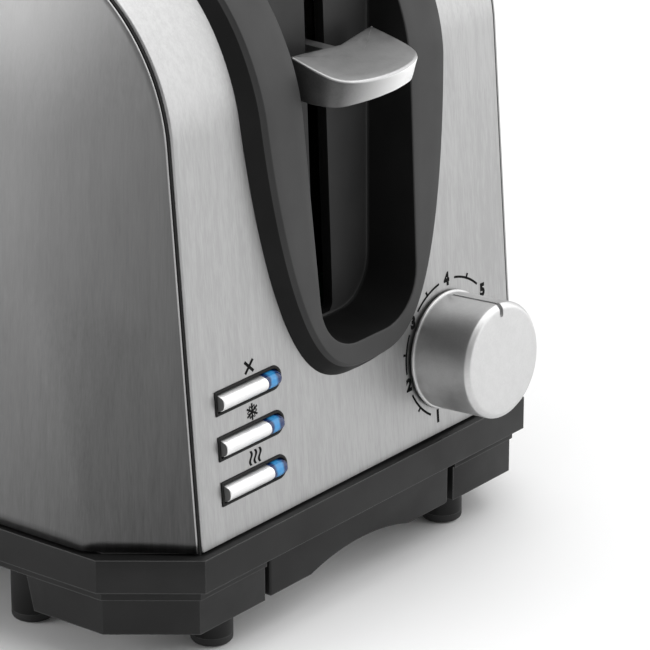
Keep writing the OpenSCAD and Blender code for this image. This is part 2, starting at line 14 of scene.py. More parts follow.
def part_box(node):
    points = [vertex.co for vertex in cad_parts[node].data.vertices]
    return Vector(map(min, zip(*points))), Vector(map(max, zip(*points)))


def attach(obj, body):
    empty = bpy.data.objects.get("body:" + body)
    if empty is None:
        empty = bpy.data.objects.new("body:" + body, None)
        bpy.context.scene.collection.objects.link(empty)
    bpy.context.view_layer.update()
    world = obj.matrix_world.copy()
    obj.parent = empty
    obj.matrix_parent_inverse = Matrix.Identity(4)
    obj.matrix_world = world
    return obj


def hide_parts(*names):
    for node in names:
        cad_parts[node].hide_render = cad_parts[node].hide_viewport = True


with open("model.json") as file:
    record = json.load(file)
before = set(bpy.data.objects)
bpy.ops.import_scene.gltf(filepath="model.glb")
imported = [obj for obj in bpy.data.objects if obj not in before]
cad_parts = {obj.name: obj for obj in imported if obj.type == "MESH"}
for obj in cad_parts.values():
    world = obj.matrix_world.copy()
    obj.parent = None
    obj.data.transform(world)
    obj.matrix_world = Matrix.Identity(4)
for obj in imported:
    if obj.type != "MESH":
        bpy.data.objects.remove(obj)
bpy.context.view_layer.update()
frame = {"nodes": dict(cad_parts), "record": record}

NODES = frame["nodes"]
MM = 0.001
scene = bpy.context.scene
link = scene.collection.objects.link

# ---- sizes, from the frame where it has them ----
# LEAN is the panel's backward lean, ARC_R the shoulder's radius, BAND_TOP the base band's top.

BASE_LOW, BASE_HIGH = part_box("base_plinth")
MID_X = (BASE_LOW.x + BASE_HIGH.x) / 2 / MM
HALF_L = (BASE_HIGH.x - BASE_LOW.x) / 2 / MM
HALF_W = BASE_HIGH.y / MM
COVER_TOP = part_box("top_rails")[1].z / MM
REVEAL = 0.9
SEAM_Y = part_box("side_shell_right")[0].y / MM
COVER_HALF = SEAM_Y - REVEAL
SHELL_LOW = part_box("front_panel")[0].z / MM
BAND_TOP = 34.3
END_HALF = 69.1
CHAMFER_X, CHAMFER_Y = 22.2, 17.9
CORNER_HALF = END_HALF + CHAMFER_Y
SIDE_BOW = HALF_W - CORNER_HALF
LEAN = radians(4.5)
SIN, COS = sin(LEAN), cos(LEAN)
ARC_R = 52.0
ARC_Z = COVER_TOP - ARC_R
FOOT_X = HALF_L - 2.5
ARC_X = FOOT_X - (ARC_Z + ARC_R * SIN - BAND_TOP) * tan(LEAN) - ARC_R * COS
FACET_SLOPE = 0.88
TURN_WIDTH = 50.0
TRIM_PROUD = 5.9
TRIM_DROP = 2.9
DECK_SEAM = 88.0

# ---- geometry helpers ----


def P(x, y, z):
    """Model point in metres for a point in the toaster's own frame in millimetres."""
    return Vector(((x + MID_X) * MM, y * MM, z * MM))


STRAIGHT = (ARC_Z + ARC_R * SIN - BAND_TOP) / COS
ARC_LEN = ARC_R * (pi / 2 - LEAN)
HALF_PATH = STRAIGHT + ARC_LEN + ARC_X


def arch(s):
    """Point (x, z) of the cover's side view at path length s from the foot of the control end,
    and its outward normal."""
    back = s > HALF_PATH
    t = 2 * HALF_PATH - s if back else s
    if t <= STRAIGHT:
        x, z, nx, nz = FOOT_X - t * SIN, BAND_TOP + t * COS, COS, SIN
    elif t <= STRAIGHT + ARC_LEN:
        a = LEAN + (t - STRAIGHT) / ARC_R
        nx, nz = cos(a), sin(a)
        x, z = ARC_X + ARC_R * nx, ARC_Z + ARC_R * nz
    else:
        x, z, nx, nz = HALF_PATH - t, COVER_TOP, 0.0, 1.0
    return (-x, z, -nx, nz) if back else (x, z, nx, nz)


def on_arch(s, y, o):
    """Point at path length s, width y and height o above the cover."""
    x, z, nx, nz = arch(s)
    return P(x + o * nx, y, z + o * nz)


def path_at(z):
    """Path length at height z on the control end."""
    if z <= ARC_Z + ARC_R * SIN:
        return (z - BAND_TOP) / COS
    return STRAIGHT + ARC_R * (asin(min(1, (z - ARC_Z) / ARC_R)) - LEAN)


def climb(foot, steps, arc_steps):
    """Path lengths up the control end from foot, and over the shoulder."""
    rise = [foot + (STRAIGHT - foot) * k / steps for k in range(steps)]
    return rise + [STRAIGHT + ARC_LEN * k / arc_steps for k in range(arc_steps + 1)]


def foot_to_foot(front, steps):
    """Path lengths up the front, over the top in steps, and down the rear."""
    top = [STRAIGHT + ARC_LEN + 2 * ARC_X * k / steps for k in range(1, steps)]
    return front + top + [2 * HALF_PATH - s for s in reversed(front)]


def on_panel(o, y, s):
    """Point o out of the flat control panel, at width y and height s along it."""
    return P(FOOT_X + o * COS - s * SIN, y, BAND_TOP + o * SIN + s * COS)


PANEL = Matrix(((COS, 0, -SIN), (0, 1, 0), (SIN, 0, COS))).to_4x4()


def mesh_object(name, bm):
    """Makes bm an object of the scene, with its faces turned outwards."""
    bmesh.ops.recalc_face_normals(bm, faces=bm.faces)
    mesh = bpy.data.meshes.new(name)
    bm.to_mesh(mesh)
    bm.free()
    obj = bpy.data.objects.new(name, mesh)
    link(obj)
    return obj


def new_object(name, bm, body, slot, replaces=(), smooth=40, looks=()):
    """Makes bm an object that rides on body, stands for the CAD nodes in replaces, and takes
    the materials in looks, or that of slot. Edges turning more than smooth degrees stay sharp."""
    obj = mesh_object(name, bm)
    shade(obj, smooth)
    for look in looks or [slot]:
        obj.data.materials.append(MATERIALS[look])
    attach(obj, body)
    if replaces:
        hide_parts(*replaces)
    return obj


def shade(obj, smooth):
    """Smooth shading, with edges over smooth degrees kept sharp."""
    for p in obj.data.polygons:
        p.use_smooth = True
    obj.data.set_sharp_from_angle(angle=radians(smooth))


def grid(bm, rows, close_rows=False, close_columns=False):
    """Quads over a table of points: rows[i][j]."""
    verts = [[bm.verts.new(p) for p in row] for row in rows]
    n, m = len(verts), len(verts[0])
    for i in range(n if close_rows else n - 1):
        for j in range(m if close_columns else m - 1):
            a, b = verts[i], verts[(i + 1) % n]
            quad = [a[j], a[(j + 1) % m], b[(j + 1) % m], b[j]]
            if len(set(quad)) == 4:
                bm.faces.new(quad)
    return verts


def tube(bm, rows):
    """Tube through closed rows of points, capped at both ends."""
    verts = grid(bm, rows, close_columns=True)
    bm.faces.new(verts[0])
    bm.faces.new(verts[-1])


def weld(bm):
    """Joins points that coincide."""
    bmesh.ops.remove_doubles(bm, verts=bm.verts, dist=0.00001)
    bmesh.ops.dissolve_degenerate(bm, edges=bm.edges, dist=0.000001)


def final_mesh(obj):
    """Mesh of obj as its curves or modifiers give it."""
    bpy.context.view_layer.update()
    graph = bpy.context.evaluated_depsgraph_get()
    return bpy.data.meshes.new_from_object(obj.evaluated_get(graph))


def cut(obj, *tools):
    """Takes each tool away from obj, and removes the tool."""
    for item in tools:
        mod = obj.modifiers.new("cut", "BOOLEAN")
        mod.object, mod.operation, mod.solver = item, "DIFFERENCE", "EXACT"
    mesh = final_mesh(obj)
    obj.modifiers.clear()
    obj.data = mesh
    for item in tools:
        bpy.data.objects.remove(item)


def prism(bm, outline, place, low, high):
    """Closed prism over outline, a list of (u, v); place(w, u, v) is a point at depth w."""
    tube(bm, [[place(w, u, v) for u, v in outline] for w in (low, high)])


def tool(outline, place, low, high):
    """Prism as an object, for cut()."""
    bm = bmesh.new()
    prism(bm, outline, place, low, high)
    return mesh_object("tool", bm)


def corner(centre, r, a0, a1, steps):
    """Points of an arc round centre from angle a0 to a1 in degrees."""
    return [(centre[0] + r * cos(radians(a0 + (a1 - a0) * k / steps)),
             centre[1] + r * sin(radians(a0 + (a1 - a0) * k / steps)))
            for k in range(steps + 1)]


def quarter(steps, start=0):
    """(1 - cos, 1 - sin) of the angles from start to 90 degrees, for rounded edges."""
    angles = [radians(start + (90 - start) * k / steps) for k in range(steps + 1)]
    return [(1 - cos(a), 1 - sin(a)) for a in angles]


def rounded_box(cy, l, w, r):
    """Closed outline of an l by w rectangle round (0, cy) with corners of radius r."""
    points = []
    for k, (sx, sy) in enumerate(((1, 1), (-1, 1), (-1, -1), (1, -1))):
        points += corner((sx * (l / 2 - r), cy + sy * (w / 2 - r)), r, 90 * k, 90 * k + 90, 8)
    return points


def lathe(bm, profile, place, segments=96):
    """Surface of revolution: profile is (axial, radius), place(a, r*cos, r*sin) a point."""
    rows = [[place(a, r * cos(2 * pi * k / segments), r * sin(2 * pi * k / segments))
             for k in range(segments)] for a, r in profile if r > 0]
    verts = grid(bm, rows, close_columns=True)
    for row, (a, r) in ((verts[0], profile[0]), (verts[-1], profile[-1])):
        if r == 0:
            tip = bm.verts.new(place(a, 0, 0))
            for k in range(segments):
                bm.faces.new([row[k], row[(k + 1) % segments], tip])


def smooth_min(a, b, k):
    """The smaller of a and b, blended where they are less than k apart."""
    h = max(k - abs(a - b), 0) / k
    return min(a, b) - h * h * k / 4


# ---- materials ----

MATERIALS = {}
# where a button's silver cap meets its blue lens, across the panel
CAP_SPLIT = -39.7
# Width in metres of the painted highlight line along a plastic edge. It is full where the eased
# normal's cosine to the true one is under EDGE_FULL, and gone over EDGE_NONE.
EDGE_REACH, EDGE_FULL, EDGE_NONE = 0.0005, 0.90, 0.985


class Nodes:
    """Short ways to add and join shader nodes."""

    def __init__(self, name):
        self.material = bpy.data.materials.new(name)
        self.material.use_nodes = True
        self.tree = self.material.node_tree
        self.bsdf = self.tree.nodes["Principled BSDF"]
        self.coords = self.add("ShaderNodeTexCoord").outputs["Object"]

    def add(self, kind, **values):
        node = self.tree.nodes.new(kind)
        for key, value in values.items():
            if key in node.inputs:
                node.inputs[key].default_value = value
            else:
                setattr(node, key, value)
        return node

    def join(self, a, b):
        self.tree.links.new(a, b)

    def set(self, **values):
        for key, value in values.items():
            self.bsdf.inputs[key.replace("_", " ")].default_value = value

    def noise(self, scale, detail, stretch=(1, 1, 1), roughness=0.5):
        """Noise over the object's own coordinates; scale is features per metre."""
        mapping = self.add("ShaderNodeMapping", Scale=Vector(stretch) * scale)
        noise = self.add("ShaderNodeTexNoise", Scale=1.0, Detail=detail, Roughness=roughness)
        self.join(self.coords, mapping.inputs["Vector"])
        self.join(mapping.outputs["Vector"], noise.inputs["Vector"])
        return noise.outputs["Fac"]

    def ramp(self, value, low, high, start=0.3, end=0.7):
        """Value from start to end, mapped to low to high."""
        limits = {"From Min": start, "From Max": end, "To Min": low, "To Max": high}
        node = self.add("ShaderNodeMapRange", **limits)
        self.join(value, node.inputs["Value"])
        return node.outputs["Result"]

    def tint(self, value, low, high):
        """Colour from low to high as value goes from 0.3 to 0.7."""
        ramp = self.add("ShaderNodeValToRGB")
        ramp.color_ramp.elements[0].position, ramp.color_ramp.elements[1].position = 0.3, 0.7
        ramp.color_ramp.elements[0].color = rgba(low)
        ramp.color_ramp.elements[1].color = rgba(high)
        self.join(value, ramp.inputs["Fac"])
        self.join(ramp.outputs["Color"], self.bsdf.inputs["Base Color"])

    def paint_edge_highlight(self, colour):
        """Painted highlight: takes the base colour towards colour along narrow lines at the edges, hollow
        and standing edges alike.
        """
        turned = self.add("ShaderNodeVectorMath", operation="DOT_PRODUCT")
        eased = self.add("ShaderNodeBevel", samples=6, Radius=EDGE_REACH)
        self.join(self.add("ShaderNodeNewGeometry").outputs["Normal"], turned.inputs[0])
        self.join(eased.outputs["Normal"], turned.inputs[1])
        mix = self.add("ShaderNodeMix", data_type="RGBA")
        base = self.bsdf.inputs["Base Color"]
        self.join(base.links[0].from_socket, mix.inputs[6])
        mix.inputs[7].default_value = rgba(colour)
        self.join(self.ramp(turned.outputs["Value"], 1, 0, EDGE_FULL, EDGE_NONE), mix.inputs[0])
        self.join(mix.outputs[2], base)

    def bump(self, value, strength, distance):
        node = self.add("ShaderNodeBump", Strength=strength, Distance=distance)
        self.join(value, node.inputs["Height"])
        self.join(node.outputs["Normal"], self.bsdf.inputs["Normal"])

    def add_values(self, a, b):
        node = self.add("ShaderNodeMath", operation="ADD")
        self.join(a, node.inputs[0])
        self.join(b, node.inputs[1])
        return node.outputs[0]


def rgba(colour):
    """Opaque colour from (r, g, b), or from one grey value."""
    return (*colour, 1) if isinstance(colour, tuple) else (colour, colour, colour, 1)


def brushed(slot, low, high, rough, grain=(1, 1, 0.03), bump=0.10, painted_light_fade=None, metal=1.0,
            mottle=0.05):
    """Brushed metal: fine streaks along the grain, with broad soft patches. A fade takes the colour
    from low to high along a direction, between two distances in metres, as painted light and shade."""
    m = Nodes(slot)
    m.set(Metallic=metal)
    fine = m.noise(2600, 3, grain, 0.6)
    coarse = m.noise(620, 2, grain)
    patches = m.noise(18, 2)
    streaks = m.add_values(m.ramp(fine, 0, 0.6, 0.25, 0.75), m.ramp(coarse, 0, 0.4, 0.25, 0.75))
    tone = m.add_values(streaks, m.ramp(patches, -0.10, 0.10))
    # the fade paints light and shade: the colour ramps along a direction in the object
    if painted_light_fade:
        direction, start, end = painted_light_fade
        along = m.add("ShaderNodeVectorMath", operation="DOT_PRODUCT")
        along.inputs[1].default_value = direction
        m.join(m.coords, along.inputs[0])
        faint = m.ramp(tone, -mottle, mottle, 0, 1)
        tone = m.add_values(faint, m.ramp(along.outputs["Value"], 0.33, 0.67, start, end))
    m.tint(tone, low, high)
    m.join(m.ramp(streaks, rough[0], rough[1], 0.2, 0.8), m.bsdf.inputs["Roughness"])
    m.bump(streaks, bump, 0.00002)
    MATERIALS[slot] = m.material


def plastic(slot, low, high, rough, grain=1800, depth=0.00004, strength=0.25, coat=0.0, gloss=0.3,
            painted_edge_highlight=None):
    """Moulded plastic with a fine spark-eroded texture; an edge colour, if given, paints highlight lines
    along the edges.
    """
    m = Nodes(slot)
    m.set(Specular_IOR_Level=gloss, Coat_Weight=coat, Coat_Roughness=0.3)
    m.tint(m.noise(60, 4), low, high)
    if painted_edge_highlight:
        m.paint_edge_highlight(painted_edge_highlight)
    fine = m.noise(grain, 2)
    m.join(m.ramp(m.noise(90, 3), rough[0], rough[1]), m.bsdf.inputs["Roughness"])
    m.bump(fine, strength, depth)
    MATERIALS[slot] = m.material


def plain_metal(slot, low, high, rough, scale=300, stretch=(1, 1, 1)):
    """Sheet or drawn metal with faint marks."""
    m = Nodes(slot)
    m.set(Metallic=1.0)
    marks = m.noise(scale, 4, stretch)
    m.tint(marks, low, high)
    m.join(m.ramp(m.noise(scale / 4, 3), rough[0], rough[1]), m.bsdf.inputs["Roughness"])
    m.bump(marks, 0.15, 0.00003)
    MATERIALS[slot] = m.material


brushed("cover_steel", 0.35, 0.41, (0.36, 0.44), bump=0.07)
# side steel kept far darker than the cover steel, and faded lighter towards the rear and the top: painted
# shade and painted light
brushed("side_steel", 0.055, 0.235, (0.36, 0.44), bump=0.07,
        painted_light_fade=((-0.85, 0, 0.53), -0.093, 0.007))
brushed("satin_silver", 0.56, 0.60, (0.42, 0.48), grain=(0.6, 0.6, 0.6), bump=0.02)
# darker copy of the satin silver for the handle's top: painted shade
brushed("handle_top_painted_shade", 0.37, 0.40, (0.36, 0.40), grain=(0.5, 0.5, 0.5), bump=0.01)
# silver for the handle's front and sides, dark towards -y and light towards +y by the fade: painted shade
# and painted light
brushed("handle_front_painted_shading", 0.02, 0.98, (0.38, 0.44), grain=(0.6, 0.6, 0.6), bump=0.02,
        painted_light_fade=((0, 1, 0), -0.016, 0.007), metal=0.6, mottle=0.008)
brushed("cap_silver", 0.78, 0.82, (0.42, 0.48), grain=(1, 1, 1), bump=0.02)
# the base's edges and creases get lighter lines: painted highlight
plastic("base_plastic", 0.008, 0.012, (0.42, 0.52), gloss=0.25, painted_edge_highlight=0.095)
plastic("trim_plastic", 0.034, 0.042, (0.45, 0.55), gloss=0.25)
# darker copies of the trim plastic for its walls and for the pocket's back: painted shade
plastic("trim_wall_painted_shade", 0.007, 0.010, (0.45, 0.55), gloss=0.12)
plastic("pocket_back", 0.026, 0.032, (0.42, 0.50), gloss=0.22)
# dark grey for the caps' left ends, which face away from the light: painted shade
plastic("key_end_painted_shade", 0.10, 0.14, (0.40, 0.50), gloss=0.2)
plastic("seam_black", 0.010, 0.014, (0.5, 0.6), gloss=0.15)
plastic("foot_rubber", 0.020, 0.030, (0.6, 0.75), grain=900, depth=0.00008)
plain_metal("chassis_steel", 0.42, 0.56, (0.32, 0.5), 160)
plain_metal("bright_steel", 0.55, 0.68, (0.22, 0.34), 400)
plain_metal("heating_ribbon", (0.22, 0.19, 0.17), (0.34, 0.30, 0.27), (0.4, 0.55), 500, (4, 1, 1))
plain_metal("magnet_iron", 0.16, 0.24, (0.4, 0.5), 250)
plain_metal("copper_winding", (0.50, 0.20, 0.07), (0.66, 0.30, 0.12), (0.3, 0.42), 900, (0.1, 0.1, 6))
plastic("mica", (0.36, 0.31, 0.20), (0.48, 0.42, 0.30), (0.3, 0.5), grain=300, coat=0.3)
plastic("circuit_board", (0.015, 0.09, 0.035), (0.03, 0.14, 0.06), (0.35, 0.45), grain=900)
plastic("component_plastic", 0.012, 0.03, (0.4, 0.5))
plastic("wire_sleeve", 0.05, 0.08, (0.5, 0.6), grain=1200, depth=0.0001)
plastic("led_clear", (0.55, 0.62, 0.70), (0.66, 0.72, 0.80), (0.15, 0.25), grain=300, coat=0.5)


def lens_material():
    """Blue clear plastic, painted lighter in the middle and darker at both ends: painted highlight and
    painted shade.
    """
    m = Nodes("blue_lens")
    m.set(Coat_Weight=0.25, Coat_Roughness=0.15, Roughness=0.25, Specular_IOR_Level=0.4)
    across = m.add("ShaderNodeSeparateXYZ")
    m.join(m.coords, across.inputs[0])
    # lighter in the middle, darker at the cap and at the far end: painted highlight and painted shade
    rise = m.ramp(across.outputs["Y"], 0.1, 0.9, (CAP_SPLIT + 0.4) * MM, (CAP_SPLIT + 2.4) * MM)
    fall = m.ramp(across.outputs["Y"], 0.0, -0.9, (CAP_SPLIT + 3.2) * MM, (CAP_SPLIT + 5.0) * MM)
    along = m.add_values(rise, fall)
    tone = m.add_values(along, m.ramp(m.noise(420, 1), -0.15, 0.15))
    m.tint(tone, (0.002, 0.02, 0.10), (0.03, 0.26, 0.58))
    m.bump(m.noise(500, 1), 0.15, 0.00005)
    MATERIALS["blue_lens"] = m.material


lens_material()


def matt(name, low, high, rough, gloss, scale):
    """Matt material, faintly mottled between two greys."""
    m = Nodes(name)
    m.set(Roughness=rough, Specular_IOR_Level=gloss)
    m.tint(m.noise(scale, 2), low, high)
    return m.material


MATERIALS["ink"] = matt("ink", 0.003, 0.008, 0.6, 0.05, 1500)

for row in frame["record"]["subparts"]:
    mesh = NODES[row["node"]].data
    mesh.materials.clear()
    mesh.materials.append(MATERIALS[row["material_slot"]])


# ---- side shells ----

# The shell's edge is a rolled lip of radius LIP_R. Its arc ends at the angle LIP_TURN, and the
# facet starts LIP_END inside the seam.
LIP_R, LIP_TURN, LIP_STEPS = 0.45, 131.4, 6
LIP_END = LIP_R * 1.99 + 0.1
LIP_TOP = LIP_R * 1.85
RIM_INSET = 2.6
SHELL_INSET = 50.0
SHELL_SHEET = 0.7
# rounding of the facet's crease: low down, its growth, where that starts and the height it takes
CREASE_FOOT, CREASE_GROWTH, CREASE_FROM, CREASE_OVER = 1.2, 17, 45, 75
# columns of the mesh over the facet, as shares of its width, closest round the crease at 1
FACET_FRACTIONS = [0.14, 0.3, 0.48, 0.64, 0.76, 0.85, 0.91, 0.95,
                   0.98, 1.01, 1.04, 1.08, 1.13, 1.2, 1.3, 1.42]
FLAT_COLUMNS = 9


def shell_side(x, z):
    """Distance from the middle plane of the shell's bowed, leaning side."""
    return (CORNER_HALF - 1 + SIDE_BOW * (1 - (x / (HALF_L - CHAMFER_X)) ** 2)
            - (z - BAND_TOP) * tan(LEAN))


def shell_width(x, z, d):
    """Distance from the middle plane of a point d inside the seam edge."""
    side = shell_side(x, z)
    soft = CREASE_FOOT + CREASE_GROWTH * min(1, max(0, (z - CREASE_FROM) / CREASE_OVER))
    rise = max(0.1, side - SEAM_Y)
    slope = min(FACET_SLOPE, 2 * rise / TURN_WIDTH)
    return smooth_min(side, SEAM_Y + FACET_SLOPE * LIP_END + slope * (d - LIP_END), min(soft, rise))


def shell_point(s, d, w, sign):
    """Point inset d from the seam edge at path length s; w None takes the shell's own width."""
    x, z, nx, nz = arch(s)
    t = min(s, 2 * HALF_PATH - s)
    if t < STRAIGHT:
        # the inset turns level towards the foot, so that the lower edge stays straight
        a = LEAN * t / STRAIGHT
        mx, mz = copysign(cos(a), nx), sin(a)
        reach = d / cos(LEAN - a)
    else:
        mx, mz, reach = nx, nz, d
    px, pz = x - mx * reach, z - mz * reach
    y = SEAM_Y + w if w is not None else shell_width(px, pz, d)
    return P(px, sign * y, pz)


def facet_depths(s):
    """Depths of the columns at path length s, closer together round the facet's crease."""
    x, z, nx, nz = arch(s)
    crease = 15.0
    for _ in range(3):
        crease = (shell_side(x - nx * crease, z - nz * crease) - SEAM_Y) / FACET_SLOPE
    depths = [LIP_END + (crease - LIP_END) * f for f in FACET_FRACTIONS]
    rest = SHELL_INSET - depths[-1]
    return depths + [depths[-1] + rest * k / FLAT_COLUMNS for k in range(1, FLAT_COLUMNS + 1)]


def shell_row(s, sign):
    """Points across the facet from the rim inside the seam edge to the inset line."""
    points = [shell_point(s, RIM_INSET, 0.0, sign)]
    for k in range(LIP_STEPS + 1):
        a = radians(270 - (270 - LIP_TURN) * k / LIP_STEPS)
        d = 2.65 * LIP_R + LIP_R * cos(a)
        points.append(shell_point(s, d, LIP_R + LIP_R * sin(a), sign))
    return points + [shell_point(s, d, None, sign) for d in facet_depths(s)]


def side_shell(name, sign):
    """Side sheet: lip, facet and rounded border along the seam, then the bowed middle."""
    bm = bmesh.new()
    front = climb(path_at(SHELL_LOW), 30, 36)
    columns = 44
    grid(bm, [shell_row(s, sign) for s in foot_to_foot(front, columns)])
    middle = []
    for s in front:
        a = shell_point(s, SHELL_INSET, None, 1)
        ax, az = a.x / MM - MID_X, a.z / MM
        depth_row = []
        for k in range(columns + 1):
            px = ax - 2 * ax * k / columns
            full = shell_side(px, az)
            w = min(full, shell_width(px, az, SHELL_INSET + 60 * min(k, columns - k) / columns))
            depth_row.append(P(px, sign * w, az))
        middle.append(depth_row)
    grid(bm, middle)
    weld(bm)
    obj = new_object(name, bm, "housing", "side_steel", [name], 60, ["side_steel", "cover_steel"])
    # the rolled lip and rim along the seam take the lighter cover steel, out of the side's painted shade: a
    # painted highlight along the edge
    for face in obj.data.polygons:
        if abs(face.center.y) / MM < SEAM_Y + LIP_TOP:
            face.material_index = 1
    solid = obj.modifiers.new("sheet", "SOLIDIFY")
    solid.thickness, solid.offset = SHELL_SHEET * MM, -1


side_shell("side_shell_left", -1)
side_shell("side_shell_right", 1)


# ---- wrap cover ----

BUTTON_Y = -45.1
BUTTON_L, BUTTON_H, BUTTON_CORNER = 26.6, 6.9, 0.8
BUTTON_ROWS = [13.9, 26.4, 38.9]
KNOB_Y, KNOB_S = 38.2, 23.9
POCKET_LOW, POCKET_HEAD = 75.0, 174.0
POCKET_FOOT_R, POCKET_FOOT_Y, POCKET_HEAD_R = 14.5, 5.8, 5
# the pocket widens by POCKET_GROWTH on each side over the height POCKET_RISE
POCKET_GROWTH, POCKET_RISE = 3.1, 72.5
COVER_EDGE, COVER_FOLD, COVER_SHEET = 0.7, 1.6, 0.8
DECK_HOLE_REAR, DECK_HOLE_FRONT, DECK_HOLE_HALF, DECK_HOLE_R = -86, 100, 37, 24.0
GLAND_Y, GLAND_Z, GLAND_HOLE_R = 38, 52, 5.8


def button_outline(s, grow=0.0):
    """Outline as (y, s) of the button at height s: square on the left, round on the right."""
    l, h = BUTTON_L + 2 * grow, BUTTON_H + 2 * grow
    r = BUTTON_CORNER + grow
    left = BUTTON_Y - l / 2
    points = corner((left + r, s + h / 2 - r), r, 90, 180, 5)
    points += corner((left + r, s - h / 2 + r), r, 180, 270, 5)
    return points + corner((BUTTON_Y + l / 2 - h / 2, s), h / 2, -90, 90, 24)


def pocket_half(z):
    """Half width of the pocket at height z."""
    share = max(0.0, min(1.0, (z - POCKET_LOW - POCKET_FOOT_R) / POCKET_RISE))
    return POCKET_FOOT_Y + POCKET_FOOT_R + POCKET_GROWTH * share


def pocket_loop(grow=0.0):
    """Front view of the lever pocket as (y, z), anticlockwise from the bottom."""
    foot = (POCKET_FOOT_Y, POCKET_LOW + POCKET_FOOT_R)
    head = (pocket_half(170) - POCKET_HEAD_R, POCKET_HEAD - POCKET_HEAD_R)
    right = corner(foot, POCKET_FOOT_R + grow, -90, 0, 14)
    right += [(pocket_half(z) + grow, z) for z in range(96, 168, 8)]
    right += corner(head, POCKET_HEAD_R + grow, 0, 90, 8)
    return right + [(-y, z) for y, z in reversed(right)]


def wrap_cover():
    """Steel cover over the control end, the top and the rear, with its openings cut."""
    bm = bmesh.new()
    edge = COVER_HALF
    across = [(edge, -COVER_FOLD)] + corner((edge - COVER_EDGE, -COVER_EDGE), COVER_EDGE, 0, 90, 5)
    across += [(edge - 4, 0.0)]
    outer = across + [(y, 0.0) for y in range(56, -57, -8)] + [(-y, o) for y, o in reversed(across)]
    inner = edge - COVER_SHEET
    loop = outer + [(-inner, -COVER_FOLD), (-inner, -1.0), (inner, -1.0), (inner, -COVER_FOLD)]
    path = foot_to_foot(climb(path_at(SHELL_LOW), 14, 40), 12)
    tube(bm, [[on_arch(s, y, o) for y, o in loop] for s in path])
    obj = new_object("wrap_cover", bm, "housing", "cover_steel",
                     ["front_panel", "rear_panel", "top_rails"], smooth=32)
    # each tool reaches well past both faces of the sheet
    rear, half, r = DECK_HOLE_REAR, DECK_HOLE_HALF, DECK_HOLE_R
    hole = [(DECK_HOLE_FRONT, -half), (DECK_HOLE_FRONT, half)]
    hole += corner((rear + r, half - r), r, 90, 180, 8) + corner((rear + r, r - half), r, 180, 270, 8)
    tools = [tool(pocket_loop(2.0), P, 60, 150), tool(hole, lambda w, u, v: P(u, v, w), 165, 200)]
    tools += [tool(button_outline(s), on_panel, -4, 4) for s in BUTTON_ROWS]
    tools += [tool(corner((GLAND_Y, GLAND_Z), GLAND_HOLE_R, 0, 348.75, 31), P, -150, -120)]
    cut(obj, *tools)
    shade(obj, 32)


wrap_cover()


def seam_trim(name, sign):
    """Black hoop in the reveal between the cover and a side shell."""
    bm = bmesh.new()
    low, high = COVER_HALF + 0.05, SEAM_Y - 0.05
    top, shoulder, root = -0.62, -0.75, -3.0
    loop = [(low, root), (low, shoulder), (low + 0.12, top),
            (high - 0.12, top), (high, shoulder), (high, root)]
    path = foot_to_foot(climb(path_at(BAND_TOP + 0.1), 8, 40), 1)
    tube(bm, [[on_arch(s, sign * y, o) for y, o in loop] for s in path])
    new_object(name, bm, "housing", "seam_black", [name], smooth=35)


seam_trim("seam_trim_left", -1)
seam_trim("seam_trim_right", 1)


# ---- raised black trim with the lever pocket ----

# half width, height of the widest place and lowest height, of the trim's foot and of its face
EGG_OUTER = (42.1, 163.0, 65.0)
EGG_FACE = (37.8, 160.0, 68.6)


def egg_loop(size):
    """Outline of the trim as (y, s), from the seam's right end down and round to its left. The
    lower part is an ellipse with fuller sides."""
    half, centre, low = size
    seam = STRAIGHT + ARC_R * (acos((DECK_SEAM - ARC_X) / ARC_R) - LEAN)
    right = []
    for k in range(41):
        t = radians(90 * k / 40)
        z = centre - (centre - low) * sin(t) ** 1.25
        right.append((half * cos(t) ** (2 / 3), path_at(z)))
    side = [(half, seam + (right[0][1] - seam) * k / 16) for k in range(16)]
    lower = side + right
    loop = lower + [(-y, s) for y, s in reversed(lower[:-1])]
    return loop + [(-half + 2 * half * k / 20, seam) for k in range(1, 20)]


def pocket_in_s():
    """Pocket outline as (y, s) in the same order as egg_loop, starting at its top right."""
    loop = [(y, path_at(z)) for y, z in pocket_loop()]
    n = len(loop) // 2
    right = list(reversed(loop[:n]))
    ordered = right + [(-y, s) for y, s in reversed(right)]
    top = ordered[0]
    return ordered + [(-top[0] + 2 * top[0] * k / 10, top[1]) for k in range(1, 10)]


def trim_height(s):
    """Height of the trim's face over the cover: lower over the shoulder."""
    t = min(s, 2 * HALF_PATH - s)
    a = LEAN + max(0.0, t - STRAIGHT) / ARC_R
    return TRIM_PROUD - TRIM_DROP * sin(min(a, pi / 2))


def by_angle(loop, centre, angles):
    """Points of a closed loop seen from centre at the given angles."""
    pts = [Vector(p) - Vector(centre) for p in loop]
    polar = sorted(((atan2(p.y, p.x) % (2 * pi)), p.x, p.y) for p in pts)
    out = []
    n = len(polar)
    for a in angles:
        hi = next((k for k in range(n) if polar[k][0] > a), 0)
        p, q = polar[hi - 1], polar[hi]
        p0, q0 = Vector(p[1:]), Vector(q[1:])
        ray = Vector((cos(a), sin(a)))
        edge = q0 - p0
        cross = ray.x * edge.y - ray.y * edge.x
        t = (p0.x * edge.y - p0.y * edge.x) / cross if abs(cross) > 1e-9 else p0.length
        out.append(Vector(centre) + ray * t)
    return out


def inset(loop, d):
    """Closed loop moved d towards its inside."""
    n = len(loop)
    area = sum(loop[k].x * loop[(k + 1) % n].y - loop[k].y * loop[(k + 1) % n].x for k in range(n))
    turn = 1 if area > 0 else -1
    out = []
    for k in range(n):
        tangent = (loop[(k + 1) % n] - loop[k - 1]).normalized()
        out.append(loop[k] + turn * d * Vector((-tangent.y, tangent.x)))
    return out


BACK_X, BACK_Z, BACK_LEAN = 122.05, 103.0, 0.0402
SLIT_LOW, SLIT_HIGH, SLIT_HALF = 76.6, 171.0, 3.9
POCKET_MID = 125.0
TRIM_STEPS = 160
